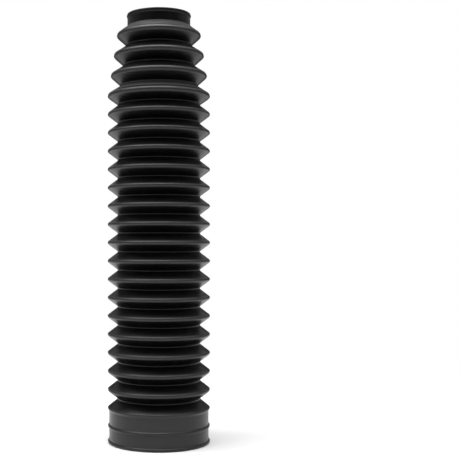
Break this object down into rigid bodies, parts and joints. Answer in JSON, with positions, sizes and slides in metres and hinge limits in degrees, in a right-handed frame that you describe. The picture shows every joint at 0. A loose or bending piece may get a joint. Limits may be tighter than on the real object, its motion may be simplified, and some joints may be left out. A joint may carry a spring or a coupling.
{
  "type": "fork gaiter",
  "caption": "Ribbed black rubber bellows boot for a motorbike fork, with a narrow collar at the top and a wide clamp sleeve at the bottom.",
  "frame": {"origin": "centre of the sleeve's lower face, on the gaiter's axis", "axes": "+Z along the gaiter's axis, from the wide sleeve up to the narrow collar"},
  "size_m": [0.072, 0.072, 0.3017],
  "materials": {
    "rubber": "moulded black rubber, satin, with a fine even grain"
  },
  "bodies": {
    "root": {"fork_gaiter": "rubber"}
  },
  "joints": []
}
